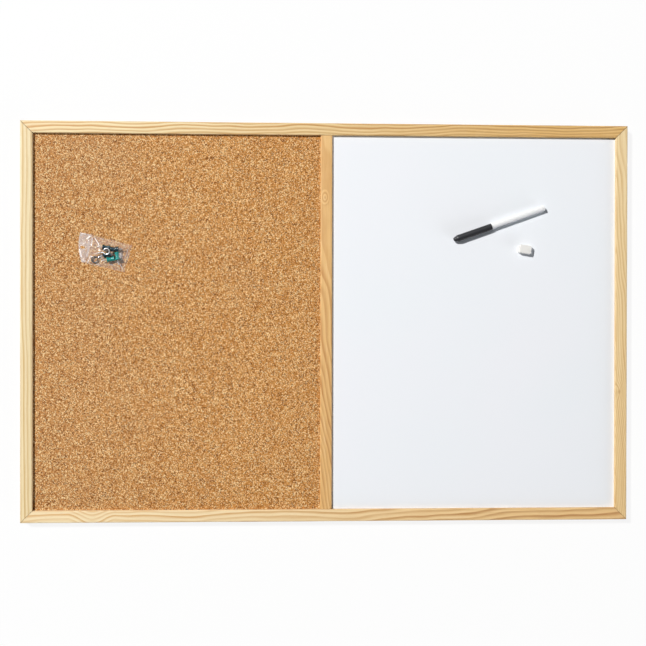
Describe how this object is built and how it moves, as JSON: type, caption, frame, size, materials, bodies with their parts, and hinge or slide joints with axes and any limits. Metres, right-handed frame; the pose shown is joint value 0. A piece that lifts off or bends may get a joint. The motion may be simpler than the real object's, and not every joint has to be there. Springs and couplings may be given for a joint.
{
  "type": "combination notice board",
  "caption": "Wall board with a cork half and a magnetic whiteboard half in one mitred pine frame, with its marker, magnet and bag of fixings lying on it.",
  "frame": {"origin": "middle of the board on the plane of the frame's back faces", "axes": "+X along the long side from the cork half to the white half, +Y up the board as it hangs, +Z out of its face"},
  "size_m": [0.9, 0.59, 0.0264],
  "materials": {
    "pine": "planed softwood, clear matt lacquer",
    "cork": "pressed cork granules, bare",
    "fibreboard": "raw soft fibreboard",
    "hardboard": "brown hardboard, smooth side out",
    "white_lacquer": "smooth gloss white lacquer on steel",
    "steel": "bare bright steel",
    "nickel": "nickel plate",
    "black_plastic": "black, smooth",
    "white_plastic": "white, smooth",
    "ink_fibre": "ink soaked polyester fibre",
    "nib_felt": "pressed felt, inked",
    "magnet_plastic": "off-white, satin",
    "ferrite": "dark grey ferrite",
    "clear_film": "clear soft film",
    "teal_plastic": "see-through teal, glossy"
  },
  "bodies": {
    "board": {"bottom_rail": "pine", "right_stile": "pine", "top_rail": "pine", "left_stile": "pine", "centre_mullion": "pine", "corner_nail_1": "steel", "corner_nail_2": "steel", "corner_nail_3": "steel", "corner_nail_4": "steel", "back_point_1": "steel", "back_point_2": "steel", "back_point_3": "steel", "back_point_4": "steel", "back_point_5": "steel", "back_point_6": "steel", "back_point_7": "steel", "back_point_8": "steel", "back_point_9": "steel", "back_point_10": "steel", "mullion_brad_1": "steel", "mullion_brad_2": "steel", "mullion_brad_3": "steel", "cork_sheet": "cork", "cork_core": "fibreboard", "whiteboard_sheet": "white_lacquer", "whiteboard_core": "fibreboard", "back_panel": "hardboard"},
    "marker": {"marker_barrel": "white_plastic", "marker_end_plug": "white_plastic", "marker_front_section": "black_plastic", "marker_nib": "nib_felt", "marker_reservoir": "ink_fibre"},
    "cap": {"marker_cap": "black_plastic"},
    "magnet": {"magnet_shell": "magnet_plastic", "magnet_core": "ferrite"},
    "bag": {"bag_film": "clear_film", "pin_head_1": "teal_plastic", "pin_head_2": "teal_plastic", "pin_head_3": "teal_plastic", "pin_head_4": "teal_plastic", "pin_head_5": "teal_plastic", "pin_needle_1": "nickel", "pin_needle_2": "nickel", "pin_needle_3": "nickel", "pin_needle_4": "nickel", "pin_needle_5": "nickel", "screw_eye_1": "nickel", "screw_eye_2": "nickel"}
  },
  "joints": [
    {"name": "marker_lift", "type": "slide", "parent": "board", "child": "marker", "axis": [0, 0, 1], "range_m": [0, 0.06]},
    {"name": "cap_pull", "type": "slide", "parent": "marker", "child": "cap", "axis": [-0.9432, -0.3321, 0.0096], "range_m": [0, 0.045]},
    {"name": "magnet_lift", "type": "slide", "parent": "board", "child": "magnet", "axis": [0, 0, 1], "range_m": [0, 0.04]},
    {"name": "bag_lift", "type": "slide", "parent": "board", "child": "bag", "axis": [0, 0, 1], "range_m": [0, 0.06]}
  ]
}
